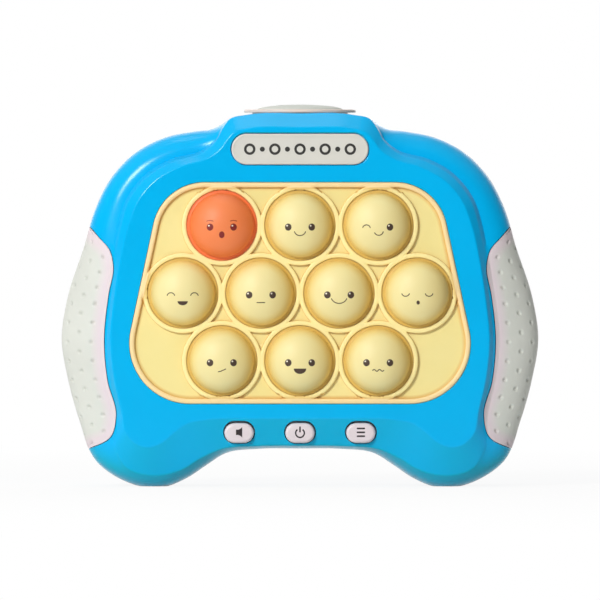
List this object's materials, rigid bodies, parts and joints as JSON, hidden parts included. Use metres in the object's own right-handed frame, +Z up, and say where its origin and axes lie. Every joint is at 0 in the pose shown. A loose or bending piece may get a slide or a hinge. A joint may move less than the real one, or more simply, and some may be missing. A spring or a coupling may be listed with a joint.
{
  "type": "electronic bubble pop game",
  "caption": "Handheld game with a moulded two-part casing, side grips, soft domes to push in on its face, keys below them and a large button on top.",
  "frame": {"origin": "centre of the bounding box's foot, on the surface that the two lower lobes stand on", "axes": "+X to the right seen from the front, +Z up, and the face with the bubbles looks along -Y"},
  "size_m": [0.175, 0.056, 0.1401],
  "materials": {
    "casing_plastic": "satin moulded blue",
    "grip_rubber": "matt pale grey, dimpled",
    "plate_plastic": "matt pale grey",
    "pad_silicone": "soft matt yellow",
    "bubble_silicone": "soft translucent yellow",
    "lit_bubble_silicone": "soft translucent, lit orange from inside",
    "clear_plunger": "clear moulded",
    "key_plastic": "satin pinkish white",
    "collar_plastic": "satin warm beige",
    "top_button_plastic": "satin pale grey",
    "frame_plastic": "natural moulded",
    "circuit_board": "green solder mask",
    "spring_steel": "drawn wire",
    "screw_steel": "zinc plated",
    "contact_steel": "nickel plated",
    "speaker_black": "black",
    "cell_sleeve": "plain dark sleeve",
    "wire_sleeve": "red insulation"
  },
  "bodies": {
    "root": {"front_shell": "casing_plastic", "rear_shell": "casing_plastic", "left_grip": "grip_rubber", "right_grip": "grip_rubber", "name_plate": "plate_plastic", "bubble_pad": "pad_silicone", "top_button_collar": "collar_plastic", "top_button_spring": "spring_steel", "top_switch_board": "circuit_board", "key_board": "circuit_board", "main_board": "circuit_board", "pad_frame": "frame_plastic", "speaker": "speaker_black", "battery_contact_left": "contact_steel", "battery_contact_right": "contact_steel", "speaker_lead": "wire_sleeve", "battery_lead": "wire_sleeve", "housing_screw_1": "screw_steel", "housing_screw_2": "screw_steel", "housing_screw_3": "screw_steel", "housing_screw_4": "screw_steel", "housing_screw_5": "screw_steel", "housing_screw_6": "screw_steel", "battery_cell_1": "cell_sleeve", "battery_cell_2": "cell_sleeve", "battery_cell_3": "cell_sleeve"},
    "bubble_01": {"bubble_01": "lit_bubble_silicone", "light_plunger_01": "clear_plunger"},
    "bubble_02": {"bubble_02": "bubble_silicone", "light_plunger_02": "clear_plunger"},
    "bubble_03": {"bubble_03": "bubble_silicone", "light_plunger_03": "clear_plunger"},
    "bubble_04": {"bubble_04": "bubble_silicone", "light_plunger_04": "clear_plunger"},
    "bubble_05": {"bubble_05": "bubble_silicone", "light_plunger_05": "clear_plunger"},
    "bubble_06": {"bubble_06": "bubble_silicone", "light_plunger_06": "clear_plunger"},
    "bubble_07": {"bubble_07": "bubble_silicone", "light_plunger_07": "clear_plunger"},
    "bubble_08": {"bubble_08": "bubble_silicone", "light_plunger_08": "clear_plunger"},
    "bubble_09": {"bubble_09": "bubble_silicone", "light_plunger_09": "clear_plunger"},
    "bubble_10": {"bubble_10": "bubble_silicone", "light_plunger_10": "clear_plunger"},
    "volume_key": {"volume_key": "key_plastic"},
    "power_key": {"power_key": "key_plastic"},
    "menu_key": {"menu_key": "key_plastic"},
    "top_button": {"top_button": "top_button_plastic"},
    "battery_door": {"battery_door": "casing_plastic", "door_screw": "screw_steel"}
  },
  "joints": [
    {"name": "bubble_01_press", "type": "slide", "parent": "root", "child": "bubble_01", "axis": [0, 1, 0], "range_m": [0, 0.0045], "stiffness_N_per_m": 500},
    {"name": "bubble_02_press", "type": "slide", "parent": "root", "child": "bubble_02", "axis": [0, 1, 0], "range_m": [0, 0.0045], "stiffness_N_per_m": 500},
    {"name": "bubble_03_press", "type": "slide", "parent": "root", "child": "bubble_03", "axis": [0, 1, 0], "range_m": [0, 0.0045], "stiffness_N_per_m": 500},
    {"name": "bubble_04_press", "type": "slide", "parent": "root", "child": "bubble_04", "axis": [0, 1, 0], "range_m": [0, 0.0045], "stiffness_N_per_m": 500},
    {"name": "bubble_05_press", "type": "slide", "parent": "root", "child": "bubble_05", "axis": [0, 1, 0], "range_m": [0, 0.0045], "stiffness_N_per_m": 500},
    {"name": "bubble_06_press", "type": "slide", "parent": "root", "child": "bubble_06", "axis": [0, 1, 0], "range_m": [0, 0.0045], "stiffness_N_per_m": 500},
    {"name": "bubble_07_press", "type": "slide", "parent": "root", "child": "bubble_07", "axis": [0, 1, 0], "range_m": [0, 0.0045], "stiffness_N_per_m": 500},
    {"name": "bubble_08_press", "type": "slide", "parent": "root", "child": "bubble_08", "axis": [0, 1, 0], "range_m": [0, 0.0045], "stiffness_N_per_m": 500},
    {"name": "bubble_09_press", "type": "slide", "parent": "root", "child": "bubble_09", "axis": [0, 1, 0], "range_m": [0, 0.0045], "stiffness_N_per_m": 500},
    {"name": "bubble_10_press", "type": "slide", "parent": "root", "child": "bubble_10", "axis": [0, 1, 0], "range_m": [0, 0.0045], "stiffness_N_per_m": 500},
    {"name": "volume_key_press", "type": "slide", "parent": "root", "child": "volume_key", "axis": [0, 1, 0], "range_m": [0, 0.0012], "stiffness_N_per_m": 1200},
    {"name": "power_key_press", "type": "slide", "parent": "root", "child": "power_key", "axis": [0, 1, 0], "range_m": [0, 0.0012], "stiffness_N_per_m": 1200},
    {"name": "menu_key_press", "type": "slide", "parent": "root", "child": "menu_key", "axis": [0, 1, 0], "range_m": [0, 0.0012], "stiffness_N_per_m": 1200},
    {"name": "top_button_press", "type": "slide", "parent": "root", "child": "top_button", "axis": [0, 0, -1], "range_m": [0, 0.0022], "stiffness_N_per_m": 900, "springref_m": -0.001, "deforming": ["top_button_spring"]},
    {"name": "battery_door_hinge", "type": "hinge", "parent": "root", "child": "battery_door", "pos_m": [0, 0.027, 0.0315], "axis": [-1, 0, 0], "range_deg": [0, 85]}
  ]
}
